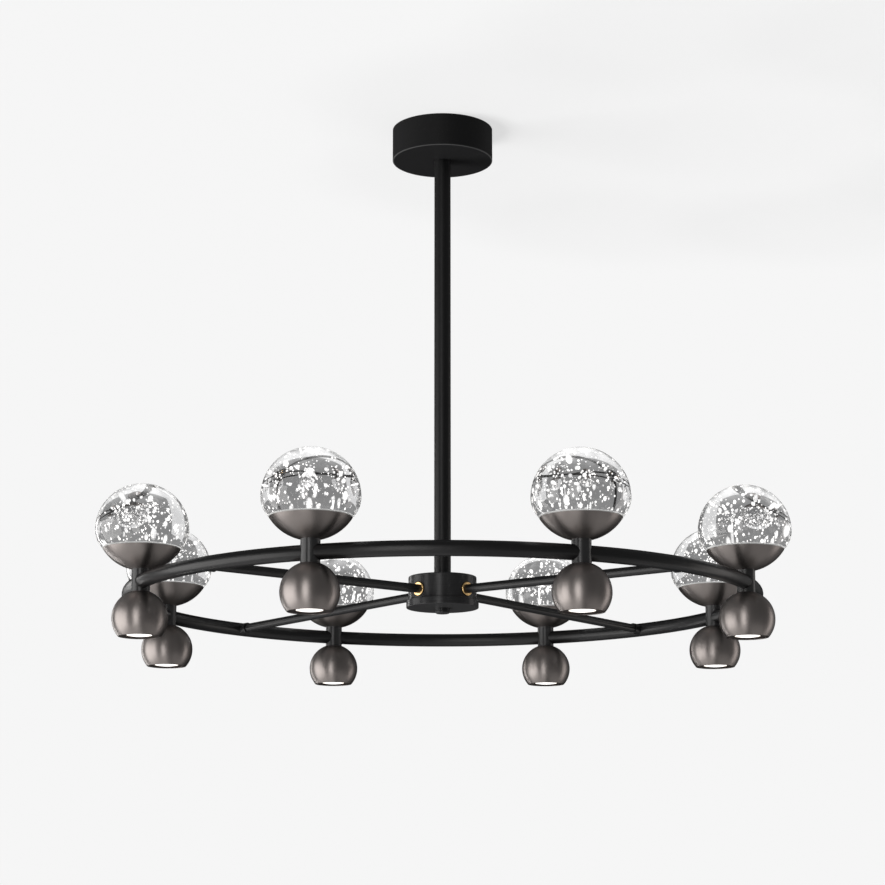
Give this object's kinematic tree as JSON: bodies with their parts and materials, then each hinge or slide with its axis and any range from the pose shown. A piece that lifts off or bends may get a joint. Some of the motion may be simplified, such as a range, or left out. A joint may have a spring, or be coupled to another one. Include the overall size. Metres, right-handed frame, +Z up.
{
  "type": "orb chandelier",
  "caption": "Ring chandelier on a rod and ceiling canopy, with clear bubble-crystal balls in metal cups above the ring and small metal spot balls below it.",
  "frame": {"origin": "on the ceiling plane, on the rod's axis, at the middle of the mounting plate's two screw holes", "axes": "+Z up into the ceiling, -Y towards the picture's viewer, +X to the right in the picture"},
  "size_m": [0.7468, 0.7468, 0.617],
  "materials": {
    "black_coat": "satin black powder coat",
    "dark_satin": "dark grey satin paint",
    "black_nickel": "brushed black nickel",
    "brass": "polished brass",
    "crystal": "clear crystal with air bubbles",
    "opal": "opal white",
    "bezel": "brushed black nickel",
    "heatsink": "turned aluminium",
    "board": "white solder mask",
    "silicone": "clear silicone",
    "zinc_steel": "zinc plated",
    "driver_case": "moulded white plastic",
    "connector": "translucent plastic",
    "grommet": "black rubber",
    "cable": "smooth cable sheath"
  },
  "bodies": {
    "ceiling_mount": {"mounting_plate": "zinc_steel", "swivel_housing": "zinc_steel", "swivel_stop_pin": "zinc_steel", "housing_screws": "zinc_steel", "led_driver": "driver_case", "terminal_block": "connector", "mains_grommet": "grommet"},
    "canopy": {"canopy": "black_coat", "canopy_nuts": "zinc_steel", "canopy_screws": "black_coat"},
    "fixture": {"swivel_stem": "zinc_steel", "rod": "black_coat", "rod_bushes": "zinc_steel", "rod_cable": "cable", "hub_body": "dark_satin", "hub_nipple": "zinc_steel", "hub_nut": "zinc_steel", "hub_connector": "connector", "arm_ferrules": "brass", "arm_nuts": "brass", "arm_collars": "black_coat", "ring_segments": "black_coat", "lamp_wiring": "cable", "lamp_stems": "dark_satin", "uplight_heatsinks": "heatsink", "uplight_boards": "board", "globe_gaskets": "silicone", "spot_modules": "heatsink", "spot_bezels": "bezel", "spot_lenses": "opal", "arm_1": "black_coat", "arm_2": "black_coat", "arm_3": "black_coat", "arm_4": "black_coat", "cup_1": "black_nickel", "spot_ball_1": "black_nickel", "cup_2": "black_nickel", "spot_ball_2": "black_nickel", "cup_3": "black_nickel", "spot_ball_3": "black_nickel", "cup_4": "black_nickel", "spot_ball_4": "black_nickel", "cup_5": "black_nickel", "spot_ball_5": "black_nickel", "cup_6": "black_nickel", "spot_ball_6": "black_nickel", "cup_7": "black_nickel", "spot_ball_7": "black_nickel", "cup_8": "black_nickel", "spot_ball_8": "black_nickel"},
    "hub_cover": {"hub_cover": "dark_satin", "finial": "dark_satin"},
    "globe_1": {"globe_1": "crystal"},
    "globe_2": {"globe_2": "crystal"},
    "globe_3": {"globe_3": "crystal"},
    "globe_4": {"globe_4": "crystal"},
    "globe_5": {"globe_5": "crystal"},
    "globe_6": {"globe_6": "crystal"},
    "globe_7": {"globe_7": "crystal"},
    "globe_8": {"globe_8": "crystal"}
  },
  "joints": [
    {"name": "swivel", "type": "hinge", "parent": "ceiling_mount", "child": "fixture", "pos_m": [0, 0, -0.01], "axis": [0, 0, 1], "range_deg": [-150, 150]},
    {"name": "canopy_drop", "type": "slide", "parent": "ceiling_mount", "child": "canopy", "axis": [0, 0, -1], "range_m": [0, 0.45]},
    {"name": "hub_cover_drop", "type": "slide", "parent": "fixture", "child": "hub_cover", "axis": [0, 0, -1], "range_m": [0, 0.03]},
    {"name": "globe_1_lift", "type": "slide", "parent": "fixture", "child": "globe_1", "axis": [0, 0, 1], "range_m": [0, 0.08]},
    {"name": "globe_2_lift", "type": "slide", "parent": "fixture", "child": "globe_2", "axis": [0, 0, 1], "range_m": [0, 0.08]},
    {"name": "globe_3_lift", "type": "slide", "parent": "fixture", "child": "globe_3", "axis": [0, 0, 1], "range_m": [0, 0.08]},
    {"name": "globe_4_lift", "type": "slide", "parent": "fixture", "child": "globe_4", "axis": [0, 0, 1], "range_m": [0, 0.08]},
    {"name": "globe_5_lift", "type": "slide", "parent": "fixture", "child": "globe_5", "axis": [0, 0, 1], "range_m": [0, 0.08]},
    {"name": "globe_6_lift", "type": "slide", "parent": "fixture", "child": "globe_6", "axis": [0, 0, 1], "range_m": [0, 0.08]},
    {"name": "globe_7_lift", "type": "slide", "parent": "fixture", "child": "globe_7", "axis": [0, 0, 1], "range_m": [0, 0.08]},
    {"name": "globe_8_lift", "type": "slide", "parent": "fixture", "child": "globe_8", "axis": [0, 0, 1], "range_m": [0, 0.08]}
  ]
}
